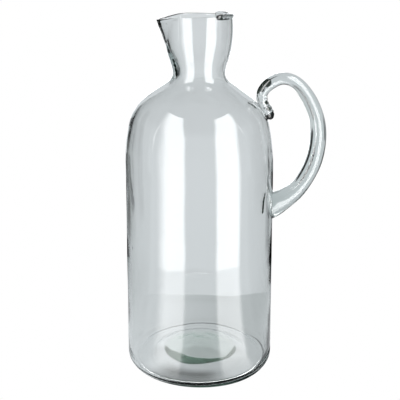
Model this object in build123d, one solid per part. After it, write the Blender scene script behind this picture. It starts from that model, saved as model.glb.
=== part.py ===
"""Large hand-blown glass water jug, in millimetres.

+Z is up, the handle points to +X and the pouring spout to -X. The origin is the centre of the foot ring, on the
surface that the jug stands on. Each sub-part is one separately gathered piece of glass, in its own STEP file:

vessel      the blown body: domed base, side, shoulder, neck, flared mouth and pulled spout, open at the top
pontil_pad  the wad of glass that stays in the hollow of the base, where the pontil rod held the jug
handle      one solid rod, fused to the side low down, looped up and over, and pressed onto the shoulder
lip_trail   a short bead of glass laid on the rim above the handle
"""

import os
from math import cos, hypot, radians, sin, sqrt

from build123d import *

# Overall sizes of the blown body.
RIM_HEIGHT = 327.0
FOOT_RADIUS = 70.0
SHOULDER_HEIGHT = 200.0
SHOULDER_RADIUS = 67.4
MOUTH_RADIUS = 29.6

# Outer outline above the side: radius and height of points over the shoulder, into the neck and up to the rim.
NECK_OUTLINE = (
    (66.2, 215.0),
    (62.7, 235.0),
    (55.6, 248.0),
    (43.2, 259.0),
    (31.9, 267.0),
    (25.4, 272.0),
    (23.2, 277.0),
    (26.4, 290.0),
    (29.3, 305.0),
    (30.1, 316.0),
)

# The base: a flat foot ring, with a rounded heel outside it and a shallow dome inside it. The dome is wider inside
# the body than under it.
HEEL_RADIUS = 8.6
FOOT_INNER_RADIUS = 46.0
DOME_RISE = 12.0
INNER_DOME_RADIUS = 48.0

# Glass thickness, least at the rim.
FLOOR_AT_CENTRE = 4.5
FLOOR_AT_RING = 3.4
SIDE_WALL = 3.2
SHOULDER_WALL = 2.6
RIM_WALL = 2.2

# The spout: a narrow ridge pulled out of the round mouth, with its tip a little lower than the rim.
SPOUT_LOW = 294.0
SPOUT_LOW_REACH = 27.0
SPOUT_TOP_REACH = 37.6
SPOUT_HALF_ANGLE = radians(40.0)
SPOUT_ROOT_RATIO = 0.965
SPOUT_TIP_ROUNDING = 2.6
SPOUT_DIP = 3.5
SPOUT_DIP_START = 18.0
SPOUT_WALL = 2.4

# Middle line of the handle in the XZ plane, from its root in the side to its tail: x, z and half the thickness.
HANDLE_ROUTE = (
    (57.0, 151.5, 13.2),
    (69.5, 156.5, 11.8),
    (80.0, 162.5, 9.8),
    (91.0, 171.5, 8.0),
    (100.0, 184.5, 7.2),
    (106.0, 200.0, 6.9),
    (108.5, 219.0, 6.8),
    (105.8, 238.0, 6.4),
    (98.2, 255.0, 6.1),
    (87.0, 268.3, 5.6),
    (74.6, 272.8, 5.5),
    (63.3, 268.7, 5.8),
    (56.3, 260.5, 5.2),
    (56.6, 251.0, 5.0),
    (61.0, 243.0, 5.4),
    (64.3, 238.4, 3.8),
    (65.6, 236.4, 1.6),
)
HANDLE_WIDTH_RATIO = 1.1

# The pontil pad lies against the dome and stays clear of the surface that the jug stands on.
PAD_RADIUS = 34.0
PAD_THICKNESS = 4.0
PAD_EDGE_ROUNDING = 1.2

# The bead on the back of the rim.
TRAIL_RADIUS = 2.2
TRAIL_LIFT = 0.8
TRAIL_HALF_ANGLE = 56.0

FOOT_OUTER_RADIUS = FOOT_RADIUS - HEEL_RADIUS
BORE_RADIUS = FOOT_RADIUS - SIDE_WALL
INNER_HEEL_RADIUS = HEEL_RADIUS - SIDE_WALL
FLOOR_RADIUS = BORE_RADIUS - INNER_HEEL_RADIUS
FLOOR_TOP = DOME_RISE + FLOOR_AT_CENTRE


def sphere_radius(half_chord, rise):
    """Radius of the sphere whose cap has this half chord and this rise."""
    return (half_chord**2 + rise**2) / (2 * rise)


def dome_point(top, half_chord, rise, radius):
    """Point at this radius on a dome with its top on the axis."""
    sphere = sphere_radius(half_chord, rise)
    return (radius, top - sphere + sqrt(sphere**2 - radius**2))


def inset(points, first_wall, last_wall):
    """Move each point of an outline square to it, towards the axis, by a wall that changes along the outline."""
    moved = []
    last = len(points) - 1
    for index, (radius, height) in enumerate(points):
        before = points[max(index - 1, 0)]
        after = points[min(index + 1, last)]
        run = (after[0] - before[0], after[1] - before[1])
        wall = first_wall + (last_wall - first_wall) * index / last
        length = hypot(*run)
        moved.append((radius - wall * run[1] / length, height + wall * run[0] / length))
    return moved


def spin(base_edges, side_foot, outline):
    """Solid of revolution: the edges of its underside, then up its side and its outline, then back to the axis."""
    side_top = outline[0]
    top = outline[-1]
    side = Line(side_foot, side_top)
    neck = Spline(*outline, tangents=(side % 1, (0, 1)))
    lid = Polyline(top, (0, top[1]), base_edges[0] @ 0)
    face = make_face(base_edges + [side, neck, lid])
    return revolve(Plane.XZ * face, Axis.Z)


def outer_body():
    """The body as if it were solid glass, without the spout."""
    dome = ThreePointArc(
        (0, DOME_RISE),
        dome_point(DOME_RISE, FOOT_INNER_RADIUS, DOME_RISE, FOOT_INNER_RADIUS / 2),
        (FOOT_INNER_RADIUS, 0),
    )
    foot = Line((FOOT_INNER_RADIUS, 0), (FOOT_OUTER_RADIUS, 0))
    heel = CenterArc((FOOT_OUTER_RADIUS, HEEL_RADIUS), HEEL_RADIUS, -90, 90)
    outline = ((SHOULDER_RADIUS, SHOULDER_HEIGHT), *NECK_OUTLINE, (MOUTH_RADIUS, RIM_HEIGHT))
    return spin([dome, foot, heel], (FOOT_RADIUS, HEEL_RADIUS), outline)


def bore():
    """The space inside the body, without the spout's channel, reaching a little above the rim."""
    floor_rise = FLOOR_TOP - FLOOR_AT_RING
    floor = ThreePointArc(
        (0, FLOOR_TOP),
        dome_point(FLOOR_TOP, INNER_DOME_RADIUS, floor_rise, INNER_DOME_RADIUS / 2),
        (INNER_DOME_RADIUS, FLOOR_AT_RING),
    )
    ring = Line((INNER_DOME_RADIUS, FLOOR_AT_RING), (FLOOR_RADIUS, FLOOR_AT_RING))
    heel = CenterArc((FLOOR_RADIUS, FLOOR_AT_RING + INNER_HEEL_RADIUS), INNER_HEEL_RADIUS, -90, 90)
    outline = ((SHOULDER_RADIUS, SHOULDER_HEIGHT), *NECK_OUTLINE, (MOUTH_RADIUS, RIM_HEIGHT + 0.5))
    inner = inset(outline, SHOULDER_WALL, RIM_WALL)
    return spin([floor, ring, heel], (BORE_RADIUS, FLOOR_AT_RING + INNER_HEEL_RADIUS), inner)


def spout_ridge(wall, rounding, top):
    """The ridge of the spout, taken in by wall all round: a prism that leans outwards and widens upwards."""
    sections = []
    for height, reach in ((SPOUT_LOW, SPOUT_LOW_REACH), (RIM_HEIGHT, SPOUT_TOP_REACH)):
        root = SPOUT_ROOT_RATIO * MOUTH_RADIUS - wall
        side_x = -root * cos(SPOUT_HALF_ANGLE)
        side_y = root * sin(SPOUT_HALF_ANGLE)
        outline = Polyline((wall - reach, 0), (side_x, side_y), (side_x / 2, 0), (side_x, -side_y), close=True)
        sections.append(Pos(0, 0, height) * make_face(outline))
    ridge = loft(sections, ruled=True)
    tip = ridge.edges().sort_by(Axis.X)[0]
    ridge = fillet(tip, rounding)
    if top > RIM_HEIGHT:
        lid = ridge.faces().sort_by(Axis.Z)[-1]
        ridge += extrude(lid, top - RIM_HEIGHT)
    return ridge


def spout_dip():
    """A lying cylinder that takes the top off the spout, so that its tip is lower than the rim."""
    radius = (SPOUT_DIP_START**2 + SPOUT_DIP**2) / (2 * SPOUT_DIP)
    cylinder = Rot(90, 0, 0) * Cylinder(radius, 4 * MOUTH_RADIUS)
    return Pos(-SPOUT_TOP_REACH, 0, RIM_HEIGHT - SPOUT_DIP + radius) * cylinder


def make_filled_vessel():
    return outer_body() + spout_ridge(0, SPOUT_TIP_ROUNDING, RIM_HEIGHT)


def make_vessel(filled):
    channel = spout_ridge(SPOUT_WALL, SPOUT_TIP_ROUNDING / 3, RIM_HEIGHT + 0.5)
    return filled - (bore() + channel) - spout_dip()


def make_handle(filled):
    """Sections square to the route, joined smoothly and cut where they meet the body."""
    sections = []
    last = len(HANDLE_ROUTE) - 1
    for index, (x, z, half) in enumerate(HANDLE_ROUTE):
        before = HANDLE_ROUTE[max(index - 1, 0)]
        after = HANDLE_ROUTE[min(index + 1, last)]
        along = (after[0] - before[0], 0, after[1] - before[1])
        plane = Plane((x, 0, z), x_dir=(0, 1, 0), z_dir=along)
        sections.append(plane * Ellipse(half * HANDLE_WIDTH_RATIO, half))
    return loft(sections) - filled


def make_pontil_pad():
    """A dished disc that follows the dome of the base."""
    low = DOME_RISE - PAD_THICKNESS
    rim_top = dome_point(DOME_RISE, FOOT_INNER_RADIUS, DOME_RISE, PAD_RADIUS)
    rim_low = dome_point(low, FOOT_INNER_RADIUS, DOME_RISE, PAD_RADIUS)
    upper_mid = dome_point(DOME_RISE, FOOT_INNER_RADIUS, DOME_RISE, PAD_RADIUS / 2)
    lower_mid = dome_point(low, FOOT_INNER_RADIUS, DOME_RISE, PAD_RADIUS / 2)
    outline = [
        ThreePointArc((0, DOME_RISE), upper_mid, rim_top),
        Line(rim_top, rim_low),
        ThreePointArc(rim_low, lower_mid, (0, low)),
        Line((0, low), (0, DOME_RISE)),
    ]
    pad = revolve(Plane.XZ * make_face(outline), Axis.Z)
    lower_edge = pad.edges().filter_by(GeomType.CIRCLE).sort_by(Axis.Z)[0]
    return fillet(lower_edge, PAD_EDGE_ROUNDING)


def make_lip_trail():
    """A round bead along the back of the rim, with round ends, flattened where it lies on the rim."""
    radius = MOUTH_RADIUS - RIM_WALL / 2
    height = RIM_HEIGHT + TRAIL_LIFT
    path = Pos(0, 0, height) * CenterArc((0, 0), radius, -TRAIL_HALF_ANGLE, 2 * TRAIL_HALF_ANGLE)
    bead = sweep(Plane(path @ 0, z_dir=path % 0) * Circle(TRAIL_RADIUS), path)
    for end in (path @ 0, path @ 1):
        bead += Pos(end) * Sphere(TRAIL_RADIUS)
    return split(bead, Plane.XY.offset(RIM_HEIGHT), keep=Keep.TOP)


filled_vessel = make_filled_vessel()
pieces = {
    "vessel": make_vessel(filled_vessel),
    "pontil_pad": make_pontil_pad(),
    "handle": make_handle(filled_vessel),
    "lip_trail": make_lip_trail(),
}

os.makedirs("parts", exist_ok=True)
for name, piece in pieces.items():
    export_step(piece, f"parts/{name}.step")
    print(name, round(piece.volume), "mm3")
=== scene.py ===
"""A tall hand-blown glass water jug on a white table, between two softboxes.

Places are in metres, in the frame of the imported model: +Z is up, the handle points to +X and the spout to
-X. The outlines of the glass are given in millimetres and scaled by MM when a mesh is made. Four pieces of
glass replace the plain CAD solids: the blown vessel, its handle, the bead on its rim and the pontil pad
under its base.
"""

from math import acos, atan2, cos, exp, hypot, pi, radians, sin, sqrt

import bmesh
import bpy
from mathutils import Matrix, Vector, noise


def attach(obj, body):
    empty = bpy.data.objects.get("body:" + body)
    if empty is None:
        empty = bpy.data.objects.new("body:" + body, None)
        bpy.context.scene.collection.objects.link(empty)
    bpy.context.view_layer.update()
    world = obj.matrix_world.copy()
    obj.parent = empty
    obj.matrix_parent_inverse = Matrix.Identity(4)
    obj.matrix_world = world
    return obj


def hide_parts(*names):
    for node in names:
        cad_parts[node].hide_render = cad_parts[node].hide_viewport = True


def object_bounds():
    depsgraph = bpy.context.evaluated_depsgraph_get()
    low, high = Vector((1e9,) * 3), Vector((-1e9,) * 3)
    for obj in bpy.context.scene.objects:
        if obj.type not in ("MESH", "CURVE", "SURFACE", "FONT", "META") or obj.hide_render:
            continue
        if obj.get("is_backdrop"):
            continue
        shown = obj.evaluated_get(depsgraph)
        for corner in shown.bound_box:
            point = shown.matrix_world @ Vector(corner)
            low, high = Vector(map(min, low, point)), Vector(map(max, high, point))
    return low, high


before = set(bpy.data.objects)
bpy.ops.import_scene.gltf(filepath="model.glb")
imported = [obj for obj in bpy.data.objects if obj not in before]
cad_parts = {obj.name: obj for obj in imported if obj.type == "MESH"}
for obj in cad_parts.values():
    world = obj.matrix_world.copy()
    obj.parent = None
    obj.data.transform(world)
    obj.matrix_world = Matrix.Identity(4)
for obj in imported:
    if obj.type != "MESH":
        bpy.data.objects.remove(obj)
cad_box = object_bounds()

MM = 0.001

# ---------------------------------------------------------------- sizes of the blown body, in millimetres

RIM_HEIGHT = 328.3
FOOT_RADIUS = 69.7
SIDE_TOP = (67.2, 200.0)
NECK_OUTLINE = (
    (66.1, 215.0),
    (64.6, 225.0),
    (62.4, 235.0),
    (58.9, 243.0),
    (53.3, 250.5),
    (46.4, 256.5),
    (39.0, 262.0),
    (31.9, 267.0),
    (26.2, 271.3),
    (23.4, 276.5),
    (24.4, 284.0),
    (26.9, 292.5),
    (28.9, 302.0),
    (29.7, 311.0),
    (29.8, 319.0),
)
MOUTH_RADIUS = 29.2

SIDE_WALL = 3.2
SHOULDER_WALL = 2.6
RIM_WALL = 2.2
FLOOR_AT_CENTRE = 4.5
FLOOR_AT_RING = 3.4

HEEL_RADIUS = 8.6
INNER_HEEL_RADIUS = HEEL_RADIUS - SIDE_WALL
FOOT_OUTER_RADIUS = FOOT_RADIUS - HEEL_RADIUS
FOOT_INNER_RADIUS = 46.0
DOME_RISE = 12.0
INNER_DOME_RADIUS = 49.0
FLOOR_TOP = DOME_RISE + FLOOR_AT_CENTRE

# The spout leaves the round neck at its root, runs out straight from its start, and flares above that.
SPOUT_ROOT = 282.0
SPOUT_START = 302.0
SPOUT_SLOPE = 0.32
SPOUT_SOFTNESS = 3.0
SPOUT_FLARE = 2.6
SPOUT_FLARE_START = 12.0
SPOUT_THINNING = 0.3
SPOUT_THINNING_HEIGHT = 15.0
SPOUT_TIP_ANGLE = radians(5.0)
SPOUT_DIP = 3.0
SPOUT_DIP_ANGLE = radians(30.0)

# The rim rises and falls, twice round, above the height where its dips start.
RIM_DIP = 0.35
RIM_DIP_TURN = 0.8
DIP_START = 285.0

# The top leans towards the spout, and the root of the neck leans most.
TOP_LEAN = -0.35
TOP_LEAN_HEIGHTS = (190.0, 215.0)
NECK_LEAN = -0.9
NECK_LEAN_HEIGHT = 259.0
NECK_LEAN_REACH = 9.0

# Broad waves and finer ripples of the blown skin, and a band of close ripples low on the side. All of them
# fade away towards the foot and the axis.
WAVE_DEPTH = 0.22
WAVE_LENGTH = 42.0
RIPPLE_DEPTH = 0.05
RIPPLE_LENGTH = 26.0
RIPPLE_SPACING = 9.0
LOW_RIPPLE_DEPTH = 0.04
LOW_RIPPLE_LENGTH = 24.0
LOW_RIPPLE_SPACING = 2.6
LOW_RIPPLE_HEIGHT = 92.0
LOW_RIPPLE_REACH = 24.0
EVEN_HEIGHTS = (2.0, 25.0)
EVEN_RADII = (4.0, 20.0)
INNER_SEED = 5.0

# The heel is squarer on one side, between these two heights.
SQUARE_HEEL = 1.1
SQUARE_HEEL_LOW = 0.8
SQUARE_HEEL_HIGH = 1.5
SQUARE_HEEL_TURN = radians(-55.0)
SQUARE_HEEL_SPREAD = 0.5

# The wall is thicker inside the throat, under the spout.
THROAT_WALL = 2.0
THROAT_ANGLE = 1.0
THROAT_HEIGHT = 283.0
THROAT_REACH = 17.0

# A faint round fold in the floor.
FOLD_RADIUS = 59.3
FOLD_HEIGHT = 0.7
FOLD_WIDTH = 1.3

# How finely the outline is divided, and the turn round the axis.
DOME_STEPS = 16
FOOT_STEPS = 5
HEEL_STEPS = 12
SIDE_STEPS = 40
NECK_STEPS = 6
FLOOR_STEPS = 20
CREST_STEPS = 8
SEGMENTS = 192

# ---------------------------------------------------------------- sizes of the other pieces, in millimetres

# Middle line of the handle in the XZ plane, from its root in the side to its tail: x, z and half thickness.
HANDLE_ROUTE = (
    (57.0, 151.5, 13.0),
    (69.5, 156.5, 11.7),
    (80.0, 162.5, 9.7),
    (91.0, 171.5, 7.9),
    (99.4, 184.9, 7.7),
    (105.2, 200.3, 7.6),
    (107.6, 219.0, 7.4),
    (105.4, 237.8, 6.75),
    (97.8, 254.7, 6.4),
    (87.0, 268.3, 5.5),
    (74.6, 272.8, 5.4),
    (63.3, 268.7, 5.7),
    (56.3, 260.5, 5.1),
    (56.6, 251.0, 4.9),
    (61.0, 243.0, 5.3),
    (64.0, 238.6, 3.9),
    (65.3, 236.6, 1.6),
)

# The rod is wider than thick and a little uneven. Its tail is crimped, between these shares of its length.
HANDLE_WIDTH_RATIO = 1.08
ROD_UNEVENNESS = 0.035
ROD_WAVES = 14.0
CRIMP_DEPTH = 0.09
CRIMP_PITCH = 170.0
CRIMP_START = (0.72, 0.80)
CRIMP_END = (0.96, 1.0)

# How far the other pieces reach into the vessel, so that the glass joins.
EMBED = 0.3

# The pad is dished like the dome over it. Its edge is bevelled, broadly so towards the front and the back.
PAD_RADIUS = 33.5
PAD_THICKNESS = 4.0
PAD_EDGE = 0.8
PAD_BEVEL = 1.5
PAD_FRONT_BEVEL = 9.5
PAD_FRONT_TURN = radians(-113.0)
PAD_FRONT_POWER = 4
PAD_BACK_BEVEL = 9.0
PAD_BACK_TURN = radians(78.0)
PAD_BACK_POWER = 2
PAD_RAGGEDNESS = 0.07
PAD_RAGGED_RADII = (5.0, 30.0)
PAD_BEVEL_UNEVENNESS = 0.3
PAD_ROUGHNESS = 0.35
PAD_ROUGHNESS_LENGTH = 10.0
PAD_SEGMENTS = 96

# The bead is a little taller than round, thickest at its two ends, and rounded off there.
TRAIL_RADIUS = 2.1
TRAIL_HALF_ANGLE = radians(60.0)
TRAIL_RISE = -1.2
TRAIL_HEIGHT_RATIO = 1.25
TRAIL_MIDDLE = 0.86
TRAIL_UNEVENNESS = 0.08
TRAIL_END_POWER = 12
TRAIL_TIP = 0.02
TRAIL_OUTWARDS = 0.2
TRAIL_LEAN = -0.3

# Where the glass is painted dark and streaky, painted shade for the dark that the glass refracts there: x, y
# and z of the middle of each place, and its reach.
VESSEL_PAINTED_SHADES = (
    ((-36.8, 0.0, 325.0), 6.4),
    ((-35.8, 0.0, 319.0), 5.4),
    ((-34.3, 0.0, 313.5), 4.4),
    ((-32.8, 0.0, 308.0), 3.4),
    ((-27.5, -12.0, 321.5), 1.4),
    ((-22.2, -14.2, 290.0), 2.7),
    ((-21.2, -13.6, 286.0), 3.0),
    ((-20.4, -13.0, 282.0), 3.0),
    ((-19.8, -12.6, 278.0), 2.6),
    ((43.3, -21.2, 255.0), 1.9),
    ((46.0, -20.0, 253.2), 2.4),
    ((48.6, -20.0, 251.0), 2.6),
    ((-60.6, -31.5, 124.0), 1.1),
    ((57.6, -35.3, 176.0), 2.1),
    ((57.0, -36.2, 173.0), 2.4),
    ((56.5, -36.9, 170.0), 2.6),
    ((56.2, -37.3, 167.0), 2.7),
    ((56.0, -37.6, 164.0), 2.7),
    ((56.0, -37.8, 161.0), 2.3),
)
# Painted shade on the bend and the tail of the handle.
HANDLE_PAINTED_SHADES = (
    ((52.0, -1.0, 261.5), 4.5),
    ((55.0, -3.0, 266.0), 6.5),
    ((60.0, -4.0, 269.0), 5.8),
    ((59.5, -4.0, 252.0), 2.6),
    ((61.5, -4.0, 246.0), 3.4),
    ((64.0, 0.0, 239.0), 8.5),
)
# Painted shade on the bead on the rim.
TRAIL_PAINTED_SHADES = (
    ((14.4, -26.0, 326.4), 7.6),
    ((18.8, -23.8, 324.2), 4.2),
    ((22.2, -20.6, 324.0), 3.8),
    ((25.2, -17.0, 324.0), 3.2),
)

# ---------------------------------------------------------------- small helpers


def mix(a, b, t):
    return a + (b - a) * t


def smoothstep(low, high, value):
    t = min(max((value - low) / (high - low), 0.0), 1.0)
    return t * t * (3 - 2 * t)


def bell(distance, width):
    return exp(-((distance / width) ** 2))


def catmull_rom(a, b, c, d, t):
    """The value at t, from 0 at b to 1 at c, of the smooth curve through four values."""
    return 0.5 * (2 * b + (c - a) * t + (2 * a - 5 * b + 4 * c - d) * t**2 + (3 * b - a - 3 * c + d) * t**3)


def curve_through(points, steps):
    """A smooth Catmull-Rom line through the points, with this many steps between neighbours."""
    first = [2 * a - b for a, b in zip(points[0], points[1])]
    last = [2 * a - b for a, b in zip(points[-1], points[-2])]
    padded = [first, *points, last]
    line = []
    for p0, p1, p2, p3 in zip(padded, padded[1:], padded[2:], padded[3:]):
        for step in range(steps):
            line.append([catmull_rom(*values, step / steps) for values in zip(p0, p1, p2, p3)])
    line.append(list(points[-1]))
    return line


def arc(centre, radius, start, end, steps):
    """Points of a circular arc in the plane of the outline, without its first point."""
    turns = [mix(start, end, step / steps) for step in range(1, steps + 1)]
    return [(centre[0] + radius * cos(turn), centre[1] + radius * sin(turn)) for turn in turns]


def run(start, end, steps):
    """Points of a straight stretch of the outline, without its first point."""
    shares = [step / steps for step in range(1, steps + 1)]
    return [(mix(start[0], end[0], share), mix(start[1], end[1], share)) for share in shares]


def dome(top, radius, half_chord, rise):
    """Height of a shallow dome at this radius."""
    ball = (half_chord**2 + rise**2) / (2 * rise)
    return top - ball + sqrt(ball**2 - radius**2)


def add_object(name, data):
    piece = bpy.data.objects.new(name, data)
    bpy.context.scene.collection.objects.link(piece)
    return piece


def make_object(name, vertices, faces):
    """A smooth mesh object from vertices in millimetres."""
    mesh = bpy.data.meshes.new(name)
    mesh.from_pydata([Vector(v) * MM for v in vertices], [], faces)
    mesh.validate()
    shape = bmesh.new()
    shape.from_mesh(mesh)
    bmesh.ops.recalc_face_normals(shape, faces=shape.faces)
    shape.to_mesh(mesh)
    shape.free()
    mesh.shade_smooth()
    return add_object(name, mesh)


def lathe(rings, segments, place):
    """Vertices and faces of a closed body of revolution, whose outline starts and ends on the axis.

    place(radius, height, turn, index) says where a point of the outline ends up.
    """
    vertices = [place(*rings[0], 0.0, 0)]
    for index, (radius, height) in enumerate(rings[1:-1], start=1):
        for segment in range(segments):
            vertices.append(place(radius, height, 2 * pi * segment / segments, index))
    vertices.append(place(*rings[-1], 0.0, len(rings) - 1))
    faces = []
    last_ring = 1 + (len(rings) - 3) * segments
    for segment in range(segments):
        beside = (segment + 1) % segments
        faces.append((0, 1 + beside, 1 + segment))
        faces.append((last_ring + segment, last_ring + beside, len(vertices) - 1))
        for index in range(len(rings) - 3):
            low = 1 + index * segments
            high = low + segments
            faces.append((low + segment, low + beside, high + beside, high + segment))
    return vertices, faces


# ---------------------------------------------------------------- the blown vessel


def outer_outline():
    """Radius and height from the middle of the dome, under the foot and up the outside to the crest."""
    points = [(0.0, DOME_RISE)]
    for step in range(1, DOME_STEPS + 1):
        radius = FOOT_INNER_RADIUS * step / DOME_STEPS
        points.append((radius, dome(DOME_RISE, radius, FOOT_INNER_RADIUS, DOME_RISE)))
    points += run(points[-1], (FOOT_OUTER_RADIUS, 0.0), FOOT_STEPS)
    points += arc((FOOT_OUTER_RADIUS, HEEL_RADIUS), HEEL_RADIUS, -pi / 2, 0.0, HEEL_STEPS)
    points += run(points[-1], SIDE_TOP, SIDE_STEPS)
    rim = (MOUTH_RADIUS, RIM_HEIGHT - RIM_WALL / 2)
    neck = curve_through((points[-2], SIDE_TOP, *NECK_OUTLINE, rim), NECK_STEPS)
    # The curve starts with the last stretch of the side, which the outline has already.
    points += [tuple(p) for p in neck[NECK_STEPS + 1:]]
    return points


def wall_at(share):
    """Thickness of the wall at this share of the way up from the floor to the rim."""
    if share < 0.5:
        return mix(SIDE_WALL, SHOULDER_WALL, share * 2)
    return mix(SHOULDER_WALL, RIM_WALL, share * 2 - 1)


def inner_outline(outer):
    """The same from the crest down the inside to the middle of the floor."""
    points = []
    foot = FLOOR_AT_RING + INNER_HEEL_RADIUS
    side = [p for p in outer if p[1] > foot and p[0] > FOOT_INNER_RADIUS or p[1] > SIDE_TOP[1]]
    for before, point, after in zip(side, side[1:], side[2:]):
        length = hypot(after[0] - before[0], after[1] - before[1])
        out = ((after[1] - before[1]) / length, (before[0] - after[0]) / length)
        wall = wall_at((point[1] - foot) / (RIM_HEIGHT - foot))
        points.append((point[0] - wall * out[0], point[1] - wall * out[1]))
    points.reverse()
    points += arc((FOOT_OUTER_RADIUS, foot), INNER_HEEL_RADIUS, 0.0, -pi / 2, HEEL_STEPS)
    for radius, height in run(points[-1], (INNER_DOME_RADIUS, FLOOR_AT_RING), FLOOR_STEPS):
        points.append((radius, height + FOLD_HEIGHT * bell(radius - FOLD_RADIUS, FOLD_WIDTH)))
    for step in range(1, DOME_STEPS + 1):
        radius = INNER_DOME_RADIUS * (1 - step / DOME_STEPS)
        points.append((radius, dome(FLOOR_TOP, radius, INNER_DOME_RADIUS, FLOOR_TOP - FLOOR_AT_RING)))
    return points


def spout_factor(turn, height, round_radius, wall):
    """How much further from the axis the mouth is here: two flat cheeks that meet in a narrow tip."""
    from_tip = abs(pi - turn % (2 * pi))
    over = height - SPOUT_START
    reach = SPOUT_SLOPE * (over + sqrt(over**2 + SPOUT_SOFTNESS**2)) / 2
    reach += SPOUT_FLARE * smoothstep(SPOUT_FLARE_START, RIM_HEIGHT - SPOUT_START, over)
    tip = round_radius + reach - SPOUT_THINNING * wall * smoothstep(0, SPOUT_THINNING_HEIGHT, over)
    cheek = acos(round_radius / tip)
    blunt = sqrt(from_tip**2 + SPOUT_TIP_ANGLE**2)
    return 1 / cos(cheek - blunt) if blunt < cheek else 1.0


def level_noise(around, length, spacing, seed):
    """Noise of one scale along the level, and another up and down."""
    return noise.noise(Vector((around.x / length, around.y / length, around.z / spacing + seed)))


def unevenness(radius, height, turn, seed):
    """How far out the blown skin waves here."""
    around = Vector((radius * cos(turn), radius * sin(turn), height))
    wave = WAVE_DEPTH * noise.noise(around / WAVE_LENGTH + Vector((seed, 0, 0)))
    ripple = RIPPLE_DEPTH * level_noise(around, RIPPLE_LENGTH, RIPPLE_SPACING, seed)
    low_ripple = level_noise(around, LOW_RIPPLE_LENGTH, LOW_RIPPLE_SPACING, seed)
    ripple += LOW_RIPPLE_DEPTH * bell(height - LOW_RIPPLE_HEIGHT, LOW_RIPPLE_REACH) * low_ripple
    return (wave + ripple) * smoothstep(*EVEN_HEIGHTS, height) * smoothstep(*EVEN_RADII, radius)


def square_heel(height, turn):
    """How much further out the heel is on its squarer side."""
    low = smoothstep(0, SQUARE_HEEL_LOW, height) * smoothstep(HEEL_RADIUS, SQUARE_HEEL_HIGH, height)
    from_middle = (turn - SQUARE_HEEL_TURN + pi) % (2 * pi) - pi
    return SQUARE_HEEL * low * bell(from_middle, SQUARE_HEEL_SPREAD)


def hand_blown(radius, height, turn, inside=False):
    """Where a point of the ideal round body ends up on the hand-made one."""
    wall, seed = (RIM_WALL, INNER_SEED) if inside else (0.0, 0.0)
    from_tip = abs(pi - turn % (2 * pi))
    radius += unevenness(radius, height, turn, seed)
    if not inside and height < HEEL_RADIUS and radius > FOOT_OUTER_RADIUS:
        radius += square_heel(height, turn)
    if inside:
        radius -= THROAT_WALL * bell(from_tip, THROAT_ANGLE) * bell(height - THROAT_HEIGHT, THROAT_REACH)
    if height > SPOUT_ROOT:
        radius *= spout_factor(turn, height, radius, wall)
    lean = TOP_LEAN * smoothstep(*TOP_LEAN_HEIGHTS, height)
    lean += NECK_LEAN * bell(height - NECK_LEAN_HEIGHT, NECK_LEAN_REACH)
    dip = SPOUT_DIP * bell(from_tip, SPOUT_DIP_ANGLE) + RIM_DIP * (1 + sin(2 * turn + RIM_DIP_TURN))
    height -= dip * smoothstep(DIP_START, RIM_HEIGHT, height)
    return (radius * cos(turn) + lean, radius * sin(turn), height)


def make_vessel():
    outer = outer_outline()
    inner = inner_outline(outer)
    out_edge, in_edge = outer[-1], inner[0]
    centre = ((out_edge[0] + in_edge[0]) / 2, (out_edge[1] + in_edge[1]) / 2)
    half = hypot(out_edge[0] - in_edge[0], out_edge[1] - in_edge[1]) / 2
    tilt = atan2(out_edge[1] - in_edge[1], out_edge[0] - in_edge[0])
    crest = arc(centre, half, tilt, tilt + pi, CREST_STEPS)[:-1]
    rings = outer + crest + inner
    turn_over = len(outer) + CREST_STEPS // 2

    def place(radius, height, turn, index):
        return hand_blown(radius, height, turn, inside=index >= turn_over)

    vertices, faces = lathe(rings, SEGMENTS, place)
    return make_object("vessel_glass", vertices, faces)


# ---------------------------------------------------------------- the handle, the bead and the pontil pad


def tube_faces(last, sides):
    """Faces of a closed tube with flat ends, whose rings of vertices are numbered from 0 to last."""
    faces = []
    for index in range(last):
        for side in range(sides):
            beside = (side + 1) % sides
            low, high = index * sides, (index + 1) * sides
            faces.append((low + side, low + beside, high + beside, high + side))
    faces.append(tuple(range(sides)))
    faces.append(tuple(last * sides + side for side in range(sides)))
    return faces


def tube(route, sides, section):
    """Vertices and faces of a closed tube along a route in the XZ plane, with flat ends.

    section(share, turn, half) gives how far the skin is from the middle line, across and in the plane.
    """
    vertices = []
    last = len(route) - 1
    for index, (x, z, half) in enumerate(route):
        before, after = route[max(index - 1, 0)], route[min(index + 1, last)]
        along = Vector((after[0] - before[0], 0, after[1] - before[1])).normalized()
        across = Vector((0, 1, 0))
        up = along.cross(across)
        for side in range(sides):
            turn = 2 * pi * side / sides
            wide, high = section(index / last, turn, half)
            vertices.append(Vector((x, 0, z)) + across * wide + up * high)
    return vertices, tube_faces(last, sides)


def cut_by_body(piece, shrink):
    """Take away what lies inside the outer skin of the vessel, less a thin layer so that the glass joins."""
    outline = [p for p in outer_outline() if p[0] > FOOT_OUTER_RADIUS - 1 or p[1] > SIDE_TOP[1]]
    skin = [(max(radius - shrink, 1.0), height) for radius, height in outline]
    rings = [(0.0, skin[0][1]), *skin, (0.0, skin[-1][1])]

    def place(radius, height, turn, index):
        return hand_blown(radius, height, turn)

    vertices, faces = lathe(rings, SEGMENTS, place)
    body = make_object("cutter", vertices, faces)
    cut = piece.modifiers.new("cut", "BOOLEAN")
    cut.operation = "DIFFERENCE"
    cut.solver = "EXACT"
    cut.object = body
    apply_modifiers(piece)
    bpy.data.objects.remove(body)


def apply_modifiers(piece):
    shown = piece.evaluated_get(bpy.context.evaluated_depsgraph_get())
    finished = bpy.data.meshes.new_from_object(shown)
    piece.modifiers.clear()
    piece.data = finished


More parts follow.
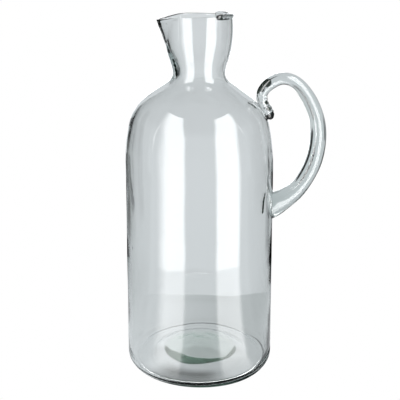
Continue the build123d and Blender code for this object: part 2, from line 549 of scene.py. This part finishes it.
def make_handle():
    route = curve_through(HANDLE_ROUTE, steps=8)

    def section(share, turn, half):
        tail = smoothstep(*CRIMP_START, share) * (1 - smoothstep(*CRIMP_END, share))
        crimp = 1 + CRIMP_DEPTH * tail * sin(share * CRIMP_PITCH) * (1 + cos(turn)) / 2
        uneven = 1 + ROD_UNEVENNESS * noise.noise(Vector((share * ROD_WAVES, cos(turn), sin(turn))))
        size = half * crimp * uneven
        return size * HANDLE_WIDTH_RATIO * cos(turn), size * sin(turn)

    vertices, faces = tube(route, sides=40, section=section)
    piece = make_object("handle_glass", vertices, faces)
    cut_by_body(piece, EMBED)
    piece.data.set_sharp_from_angle(angle=radians(40))
    return piece


def make_lip_trail():
    """A round bead that hugs the back of the rim, thicker at its two ends."""
    sides = 20
    steps = 64
    vertices = []
    radius = MOUTH_RADIUS - RIM_WALL / 2 + TRAIL_OUTWARDS
    for step in range(steps + 1):
        share = 2 * step / steps - 1
        turn = TRAIL_HALF_ANGLE * share
        uneven = TRAIL_UNEVENNESS * noise.noise(Vector((share * 3, 0.5, 0.2)))
        size = TRAIL_RADIUS * (mix(TRAIL_MIDDLE, 1.0, share**2) + uneven)
        size *= sqrt(max(1 - abs(share) ** TRAIL_END_POWER, TRAIL_TIP))
        for side in range(sides):
            roll = 2 * pi * side / sides
            r = radius + size * cos(roll)
            z = RIM_HEIGHT + TRAIL_RISE + size * TRAIL_HEIGHT_RATIO * sin(roll)
            vertices.append((r * cos(turn) + TRAIL_LEAN, r * sin(turn), z))
    return make_object("lip_trail_glass", vertices, tube_faces(steps, sides))


def towards(turn, middle, power):
    """1 in the direction of the middle, falling to 0 on the other side, faster the higher the power."""
    return (0.5 + 0.5 * cos(turn - middle)) ** power


def make_pontil_pad():
    """A dished, ragged wad against the dome, that thins out in broad bevels at its front and its back.

    A ring is given by its radius and its side, from 1 on the top to -1 on the underside.
    """
    steps = 24
    edge_turns = [pi * step / 8 for step in range(9)]
    rings = [(PAD_RADIUS * step / steps, 1.0) for step in range(steps)]
    rings += [(PAD_RADIUS + PAD_EDGE / 2 * sin(turn), cos(turn)) for turn in edge_turns]
    rings += [(PAD_RADIUS * (1 - step / steps), -1.0) for step in range(1, steps + 1)]

    def place(radius, side, turn, index):
        around = Vector((cos(turn), sin(turn), 0)) * radius
        outline = noise.noise(Vector((cos(turn) * 1.3, sin(turn) * 1.3, 4.0)))
        ragged = 1 + PAD_RAGGEDNESS * outline * smoothstep(*PAD_RAGGED_RADII, radius)
        top = dome(DOME_RISE, radius * ragged, FOOT_INNER_RADIUS, DOME_RISE) + EMBED
        bevel = PAD_BEVEL
        bevel += PAD_FRONT_BEVEL * towards(turn, PAD_FRONT_TURN, PAD_FRONT_POWER)
        bevel += PAD_BACK_BEVEL * towards(turn, PAD_BACK_TURN, PAD_BACK_POWER)
        bevel *= 1 + PAD_BEVEL_UNEVENNESS * noise.noise(Vector((cos(turn) * 2.5, sin(turn) * 2.5, 1.0)))
        thin = min(max((radius - PAD_RADIUS + bevel) / bevel, 0.0), 1.0)
        rough = PAD_ROUGHNESS * noise.noise(around / PAD_ROUGHNESS_LENGTH)
        thickness = mix(PAD_THICKNESS + rough, PAD_EDGE, thin)
        return (around.x * ragged, around.y * ragged, top + (side - 1) * thickness / 2)

    vertices, faces = lathe(rings, PAD_SEGMENTS, place)
    return make_object("pontil_pad_glass", vertices, faces)


# ---------------------------------------------------------------- materials

REFRACTIVE_INDEX = 1.5
WHITE = (1.0, 1.0, 1.0)

# How much light each colour loses in a metre of glass.
CLEAR_ABSORPTION = (18.0, 14.6, 15.0)
GREEN_ABSORPTION = (20.0, 11.0, 18.0)
CLEAR_WAVINESS = 0.12
GREEN_WAVINESS = 0.3

# The marks on the skin are drawn out upwards. Smears make it a little less glossy, and waves bump it.
DRAWN_OUT = (1, 1, 0.45)
SMEAR_SCALE = 28
SMEAR_START = 0.5
SMEAR_FULL = 0.8
SMEAR_ROUGHNESS = 0.03
SKIN_WAVE_SCALE = 60
SKIN_WAVE_HEIGHT = 0.0004

# A painted shade is solid in its middle and breaks up into streaks towards its reach.
PAINTED_SHADE_TONE = (0.0008, 0.002, 0.0012)
PAINTED_SHADE_SOLID = 0.3
STREAK_SCALE = 260
STREAK_START = 0.78
STREAK_FULL = 1.0


def noise_value(nodes, links, scale, detail, vector):
    texture = nodes.new("ShaderNodeTexNoise")
    texture.inputs["Scale"].default_value = scale
    texture.inputs["Detail"].default_value = detail
    links.new(vector, texture.inputs["Vector"])
    return texture.outputs["Fac"]


def ramp(nodes, links, value, low, high, top=1.0, smooth=False):
    """A value that goes from 0 at low to the top at high, and stays level outside them."""
    climb = nodes.new("ShaderNodeMapRange")
    if smooth:
        climb.interpolation_type = "SMOOTHSTEP"
    climb.inputs["From Min"].default_value = low
    climb.inputs["From Max"].default_value = high
    climb.inputs["To Max"].default_value = top
    links.new(value, climb.inputs["Value"])
    return climb.outputs["Result"]


def combine(nodes, links, operation, first, second):
    """One value out of two, by this operation of the math node."""
    total = nodes.new("ShaderNodeMath")
    total.operation = operation
    links.new(first, total.inputs[0])
    links.new(second, total.inputs[1])
    return total.outputs["Value"]


def blend(nodes, links, first, second, factor):
    """A node that mixes two colours: the first where the factor is 0, the second where it is 1."""
    mixed = nodes.new("ShaderNodeMix")
    mixed.data_type = "RGBA"
    mixed.inputs["A"].default_value = (*first, 1)
    mixed.inputs["B"].default_value = (*second, 1)
    links.new(factor, mixed.inputs["Factor"])
    return mixed


def glass(name, wavy, absorption, painted_shades=()):
    """Clear soda-lime glass: slightly uneven gloss and skin, tinted by its depth.

    The places given, with a reach each, are where painted shade makes the glass dark and streaky.
    """
    material = bpy.data.materials.new(name)
    material.use_nodes = True
    nodes, links = material.node_tree.nodes, material.node_tree.links
    shader = nodes["Principled BSDF"]
    shader.inputs["Base Color"].default_value = (*WHITE, 1)
    shader.inputs["Transmission Weight"].default_value = 1.0
    shader.inputs["IOR"].default_value = REFRACTIVE_INDEX

    place = nodes.new("ShaderNodeTexCoord").outputs["Object"]
    stretch = nodes.new("ShaderNodeMapping")
    stretch.inputs["Scale"].default_value = DRAWN_OUT
    links.new(place, stretch.inputs["Vector"])
    drawn_out = stretch.outputs["Vector"]

    smears = noise_value(nodes, links, SMEAR_SCALE, 3, drawn_out)
    gloss = ramp(nodes, links, smears, SMEAR_START, SMEAR_FULL, SMEAR_ROUGHNESS)
    links.new(gloss, shader.inputs["Roughness"])

    bump = nodes.new("ShaderNodeBump")
    bump.inputs["Strength"].default_value = wavy
    bump.inputs["Distance"].default_value = SKIN_WAVE_HEIGHT
    links.new(noise_value(nodes, links, SKIN_WAVE_SCALE, 2, drawn_out), bump.inputs["Height"])
    links.new(bump.outputs["Normal"], shader.inputs["Normal"])

    # Painted shade: the base colour is darkened near the listed places.
    if painted_shades:
        links.new(painted_shade_colour(nodes, links, place, painted_shades), shader.inputs["Base Color"])
    links.new(tinted_depth(nodes, absorption), nodes["Material Output"].inputs["Volume"])
    return material


def tinted_depth(nodes, absorption):
    """The inside of glass that loses this much light of each colour in a metre."""
    depth = nodes.new("ShaderNodeVolumeAbsorption")
    # The density is above the largest of the three, so that no channel of the colour comes down to 0.
    densest = max(absorption) * 1.25
    depth.inputs["Color"].default_value = (*[1 - a / densest for a in absorption], 1)
    depth.inputs["Density"].default_value = densest
    return depth.outputs["Volume"]


def painted_shade_colour(nodes, links, place, painted_shades):
    """White with painted shade, dark green streaks, near each of these places."""
    nearest = None
    for centre, reach in painted_shades:
        away = nodes.new("ShaderNodeVectorMath")
        away.operation = "DISTANCE"
        away.inputs[1].default_value = [v * MM for v in centre]
        links.new(place, away.inputs[0])
        reach *= MM
        near = ramp(nodes, links, away.outputs["Value"], reach, reach * PAINTED_SHADE_SOLID)
        nearest = near if nearest is None else combine(nodes, links, "MAXIMUM", nearest, near)
    streaks = noise_value(nodes, links, STREAK_SCALE, 2, place)
    broken = combine(nodes, links, "ADD", nearest, streaks)
    edge = ramp(nodes, links, broken, STREAK_START, STREAK_FULL, smooth=True)
    return blend(nodes, links, WHITE, PAINTED_SHADE_TONE, edge).outputs["Result"]


def emitter(name, tone, fades=False):
    """A surface with its own even light.

    If it fades, the attribute "strength" of its points says how solid it is.
    """
    material = bpy.data.materials.new(name)
    material.use_nodes = True
    nodes, links = material.node_tree.nodes, material.node_tree.links
    nodes.remove(nodes["Principled BSDF"])
    light = nodes.new("ShaderNodeEmission")
    light.inputs["Color"].default_value = (*tone, 1)
    result = light.outputs["Emission"]
    if fades:
        strength = nodes.new("ShaderNodeAttribute")
        strength.attribute_name = "strength"
        nothing = nodes.new("ShaderNodeBsdfTransparent")
        part = nodes.new("ShaderNodeMixShader")
        links.new(strength.outputs["Fac"], part.inputs["Fac"])
        links.new(nothing.outputs["BSDF"], part.inputs[1])
        links.new(result, part.inputs[2])
        result = part.outputs["Shader"]
    links.new(result, nodes["Material Output"].inputs["Surface"])
    return material


def two_tone(nodes, links, seen_by_glass, seen_by_camera):
    """A colour that is one tone for the camera and another for the light that the glass gathers."""
    ray = nodes.new("ShaderNodeLightPath")
    return blend(nodes, links, seen_by_glass, seen_by_camera, ray.outputs["Is Camera Ray"])


# ---------------------------------------------------------------- studio

BACKDROP_TONE = (0.68, 0.71, 0.73)
TABLE_TONE = (0.68, 0.71, 0.73)
BOARD_TONE = (0.50, 0.53, 0.54)
ROOM_TONE = (0.60, 0.63, 0.64)
DIM_TONE = (0.25, 0.26, 0.26)
CEILING_TONE = (0.03, 0.03, 0.03)
DARK_TONE = (0.005, 0.005, 0.005)
SOFTBOX_TONE = (10.0, 10.0, 10.0)
POOL_TONE = (6.5, 6.5, 6.5)
SHADE_TONE = (0.18, 0.19, 0.19)
FOOT_LIGHT_TONE = (4.5, 4.5, 4.5)
STRIP_TONE = (4.0, 4.0, 4.0)

# Columns and rows of the surfaces that fade away at their edges, and of the rings round the foot.
SOFT_GRID = (32, 24)
RING_GRID = (64, 1)

# The table and what lies on it, one just above the other, under the foot.
TABLE_HALF_SIZE = 6
TABLE_HEIGHT = -0.0006
BOARD_HEIGHT = -0.0004
POOL_HEIGHT = -0.0003
CRESCENT_HEIGHT = -0.0002
BOARD_SIDES = (-0.085, 0.15)
BOARD_DEPTH = (-0.07, 0.14)

# Inner or outer edges of the rings of light and shade round the foot.
FOOT_EDGE = 0.0606
FOOT_LIGHT_EDGE = 0.0591
CONTACT_EDGE = 0.069

# Where the dim screen on each side starts, round the jug, and how high it is.
DIM_START = {"left": 100, "right": 140}
DIM_HEIGHTS = {"left": (0.0, 1.0), "right": (0.16, 0.4)}
BOTH_SIDES = ((-1, "left"), (1, "right"))

# The softboxes: between which azimuths, further apart at the top, and how softly they end at their sides.
SOFTBOX_DISTANCE = 0.36
SOFTBOX_BEND = 0.3
SOFTBOX_TOP = 0.8
SOFTBOXES = {
    "left": {"low": (-64, -17.5), "high": (-98, -34), "soft": (0.45, 0.12)},
    "right": {"low": (20.5, 62), "high": (34, 92), "soft": (0.15, 0.2)},
}

# The room darkens from the first of these to the second, as the direction climbs from 0 to 1 overhead.
DARKENS_FROM = 0.2
DARK_FROM = 0.6

CAMERA_PLACE = (0.00054, -0.67976, 0.37608)
CAMERA_DIP = radians(17.656)
CAMERA_LENS = 68.97
CAMERA_SENSOR = 36.0


def around_jug(azimuth, radius, height):
    """A place in the studio. Azimuth 0 is in front of the jug, towards the camera; 90 is to its right."""
    turn = radians(azimuth)
    return (sin(turn) * radius, -cos(turn) * radius, height)


def glow(name, tone, place, grid, soft=(0, 0, 0, 0), seen="both"):
    """A grid that glows with this tone, where place(across, up) is a point of it for shares from 0 to 1.

    It fades away over soft, four shares of its size: at its first side, at its other side, at its foot and
    at its top. The camera never sees it. It is seen in the glass as a reflection, or through it, or both.
    """
    columns, rows = grid
    vertices, strengths, faces = [], [], []
    for row in range(rows + 1):
        for column in range(columns + 1):
            across, up = column / columns, row / rows
            vertices.append(place(across, up))
            strength = 1.0
            for share, stretch in zip((across, 1 - across, up, 1 - up), soft):
                if stretch > 0:
                    strength *= smoothstep(0, stretch, share)
            strengths.append(strength)
    for row in range(rows):
        for column in range(columns):
            corner = row * (columns + 1) + column
            faces.append((corner, corner + 1, corner + columns + 2, corner + columns + 1))
    mesh = bpy.data.meshes.new(name)
    mesh.from_pydata(vertices, [], faces)
    mesh.attributes.new("strength", "FLOAT", "POINT").data.foreach_set("value", strengths)
    mesh.materials.append(emitter(name, tone, fades=any(soft)))
    piece = add_object(name, mesh)
    piece.visible_camera = False
    piece.visible_glossy = seen != "through"
    piece.visible_transmission = seen != "reflected"
    piece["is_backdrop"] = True


def screen(name, tone, azimuths, distance, heights, soft, azimuths_at_top=None, seen="both"):
    """An upright screen round the jug, from one azimuth to the other.

    Its top is between the same azimuths as its foot, unless azimuths_at_top says otherwise.
    """
    azimuths_at_top = azimuths_at_top or azimuths

    def place(across, up):
        azimuth = mix(mix(*azimuths, across), mix(*azimuths_at_top, across), up)
        return around_jug(azimuth, distance, mix(*heights, up))

    glow(name, tone, place, SOFT_GRID, soft, seen)


def pool(name, tone, azimuths, reach, soft, seen="both"):
    """A patch of light or shade on the table, from one azimuth to the other and over this reach."""
    def place(across, up):
        return around_jug(mix(*azimuths, across), mix(*reach, up), POOL_HEIGHT)

    glow(name, tone, place, SOFT_GRID, soft, seen)


def crescent(name, tone, edge, width, azimuth, spread, shift, seen="both"):
    """A ring on the table round the foot, from the radius edge outwards, or inwards for a negative width.

    It is widest at this azimuth and thins out to nothing over the spread, both ways. At the sides it is
    further out, by the shift.
    """
    def place(across, up):
        turn = mix(-spread, spread, across)
        radius = edge + width * up * (0.5 + 0.5 * cos(pi * turn / spread))
        radius += shift * sin(radians(azimuth + turn)) ** 2
        return around_jug(azimuth + turn, radius, CRESCENT_HEIGHT)

    glow(name, tone, place, RING_GRID, seen=seen)


def on_board(across, up):
    """A place on the grey board under the jug, which reaches out behind it."""
    return (mix(*BOARD_SIDES, across), mix(*BOARD_DEPTH, up), BOARD_HEIGHT)


def make_table():
    """A level white surface, a little greyer in the glass than straight to the camera."""
    half = TABLE_HALF_SIZE
    mesh = bpy.data.meshes.new("table")
    corners = [(-half, -half, 0), (half, -half, 0), (half, half, 0), (-half, half, 0)]
    mesh.from_pydata(corners, [], [(0, 1, 2, 3)])
    material = emitter("table", WHITE)
    nodes, links = material.node_tree.nodes, material.node_tree.links
    mixed = two_tone(nodes, links, TABLE_TONE, WHITE)
    links.new(mixed.outputs["Result"], nodes["Emission"].inputs["Color"])
    mesh.materials.append(material)
    piece = add_object("table", mesh)
    piece.location.z = TABLE_HEIGHT
    piece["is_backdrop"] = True


def make_world():
    """Grey room at eye level and a dark ceiling, for the glass; plain white for the camera."""
    world = bpy.data.worlds.new("studio")
    bpy.context.scene.world = world
    world.use_nodes = True
    nodes, links = world.node_tree.nodes, world.node_tree.links
    nodes.clear()
    place = nodes.new("ShaderNodeTexCoord")
    parts = nodes.new("ShaderNodeSeparateXYZ")
    links.new(place.outputs["Generated"], parts.inputs["Vector"])
    climb = ramp(nodes, links, parts.outputs["Z"], DARKENS_FROM, DARK_FROM, smooth=True)
    room = blend(nodes, links, ROOM_TONE, CEILING_TONE, climb)
    mixed = two_tone(nodes, links, ROOM_TONE, WHITE)
    links.new(room.outputs["Result"], mixed.inputs["A"])
    light = nodes.new("ShaderNodeBackground")
    links.new(mixed.outputs["Result"], light.inputs["Color"])
    out = nodes.new("ShaderNodeOutputWorld")
    links.new(light.outputs["Background"], out.inputs["Surface"])


def make_camera():
    camera = bpy.data.cameras.new("camera")
    camera.sensor_width = CAMERA_SENSOR
    camera.lens = CAMERA_LENS
    camera.clip_start = 0.05
    view = add_object("camera", camera)
    view.location = CAMERA_PLACE
    view.rotation_euler = (pi / 2 - CAMERA_DIP, 0, 0)
    bpy.context.scene.camera = view


def make_surroundings():
    """The table, the grey board seen only through the glass, and the backdrop behind the jug."""
    make_table()
    glow("board", BOARD_TONE, on_board, SOFT_GRID, soft=(0.5, 0.3, 0.1, 0), seen="through")
    screen("backdrop", BACKDROP_TONE, azimuths=(136, 224), distance=0.9, heights=(0.0, 0.9),
           soft=(0.05, 0.05, 0, 0.1))


def make_dark_sides():
    """Dark and dim screens and floors to the sides and behind, which draw the edges of the glass."""
    for side, name in BOTH_SIDES:
        screen("dim_" + name, DIM_TONE, azimuths=(side * DIM_START[name], side * 151), distance=0.5,
               heights=DIM_HEIGHTS[name], soft=(0.3, 0.06, 0.05, 0), seen="through")
        screen("flag_" + name, DARK_TONE, azimuths=(side * 76, side * 150), distance=0.5,
               heights=(0.0, 1.2), soft=(0.1, 0.03, 0, 0), seen="reflected")
        pool("dark_floor_" + name, DARK_TONE, azimuths=(side * 72, side * 172), reach=(0.1, 1.0),
             soft=(0.1, 0.05, 0.2, 0), seen="reflected")

    screen("dark_left", DARK_TONE, azimuths=(-95, -152), distance=0.45, heights=(0.12, 0.33),
           soft=(0.15, 0.05, 0.2, 0.1), seen="through")
    screen("dark_right", DARK_TONE, azimuths=(118, 138), distance=0.5, heights=(0.0, 0.15),
           soft=(0.3, 0.2, 0, 0.2), seen="through")
    pool("dark_floor_right", DARK_TONE, azimuths=(118, 138), reach=(0.3, 0.5),
         soft=(0.3, 0.2, 0.3, 0), seen="through")
    pool("dim_floor", DIM_TONE, azimuths=(-112, -150), reach=(0.3, 1.2),
         soft=(0.3, 0.1, 0.2, 0.1), seen="through")
    for side, name in BOTH_SIDES:
        pool("dark_strip_" + name, DARK_TONE, azimuths=(side * 152, side * 161), reach=(0.42, 0.9),
             soft=(0.3, 0.2, 0.3, 0.2), seen="through")


def make_lights():
    """Two softboxes that spread towards their tops, their pools on the table, and lights for the edges."""
    for name, box in SOFTBOXES.items():
        low, high, soft = box["low"], box["high"], box["soft"]
        screen("softbox_" + name, SOFTBOX_TONE, azimuths=low, distance=SOFTBOX_DISTANCE,
               heights=(0.0, SOFTBOX_BEND), soft=(*soft, 0, 0), seen="reflected")
        screen("softbox_top_" + name, SOFTBOX_TONE, azimuths=low, distance=SOFTBOX_DISTANCE,
               heights=(SOFTBOX_BEND, SOFTBOX_TOP), soft=(*soft, 0, 0.05), azimuths_at_top=high,
               seen="reflected")
        pool("pool_" + name, POOL_TONE, azimuths=low, reach=(0.07, 0.48), soft=(*soft, 0.15, 0),
             seen="reflected")

    screen("strip_left", STRIP_TONE, azimuths=(-71, -68), distance=0.4, heights=(0.2, 0.5),
           soft=(0.3, 0.3, 0.2, 0.1), seen="reflected")
    screen("strip_right", STRIP_TONE, azimuths=(68, 71), distance=0.4, heights=(0.3, 0.5),
           soft=(0.3, 0.3, 0.2, 0.1), seen="reflected")
    screen("rim_light", STRIP_TONE, azimuths=(164, 196), distance=0.8, heights=(0.0, 0.8),
           soft=(0.2, 0.2, 0, 0), seen="reflected")


def make_foot_shades():
    """Shade, and a line of light, on the table right round the foot and under it."""
    pool("shade_in_front", SHADE_TONE, azimuths=(-18, 20), reach=(0.066, 0.2),
         soft=(0.35, 0.35, 0.1, 0.3), seen="reflected")
    pool("shade_under_foot", SHADE_TONE, azimuths=(-65, 40), reach=(0.028, 0.066),
         soft=(0.35, 0.35, 0.4, 0))
    crescent("foot_shadow", DARK_TONE, FOOT_EDGE, width=0.0115, azimuth=30, spread=115, shift=0.0045)
    crescent("foot_light", FOOT_LIGHT_TONE, FOOT_LIGHT_EDGE, width=-0.002, azimuth=5, spread=80, shift=0.003)
    crescent("contact_shadow", DARK_TONE, CONTACT_EDGE, width=0.016, azimuth=25, spread=120, shift=0.0035,
             seen="reflected")


# ---------------------------------------------------------------- the whole scene

# The vessel, handle and bead glass carry painted shade: dark streaks in their colour where the glass
# refracts dark surroundings.
clear = glass("clear_glass", CLEAR_WAVINESS, CLEAR_ABSORPTION, VESSEL_PAINTED_SHADES)
green = glass("green_glass", GREEN_WAVINESS, GREEN_ABSORPTION)
crimped = glass("handle_glass_painted_shade", CLEAR_WAVINESS, CLEAR_ABSORPTION, HANDLE_PAINTED_SHADES)
trailed = glass("trail_glass_painted_shade", CLEAR_WAVINESS, CLEAR_ABSORPTION, TRAIL_PAINTED_SHADES)

for piece, node, material, slot in (
    (make_vessel(), "vessel", clear, "clear_glass"),
    (make_handle(), "handle", crimped, "clear_glass"),
    (make_lip_trail(), "lip_trail", trailed, "clear_glass"),
    (make_pontil_pad(), "pontil_pad", green, "green_glass"),
):
    piece.data.materials.clear()
    piece.data.materials.append(material)
    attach(piece, "root")
    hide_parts(node)

make_camera()
make_world()
make_surroundings()
make_dark_sides()
make_lights()
make_foot_shades()

# Light passes many skins of glass before it reaches the camera.
settings = bpy.context.scene
settings.view_settings.view_transform = "Standard"
settings.cycles.max_bounces = 32
settings.cycles.transmission_bounces = 32
settings.cycles.glossy_bounces = 16

visual_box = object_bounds()
for box in (cad_box, visual_box):
    str([list(corner) for corner in box]) + "\n"
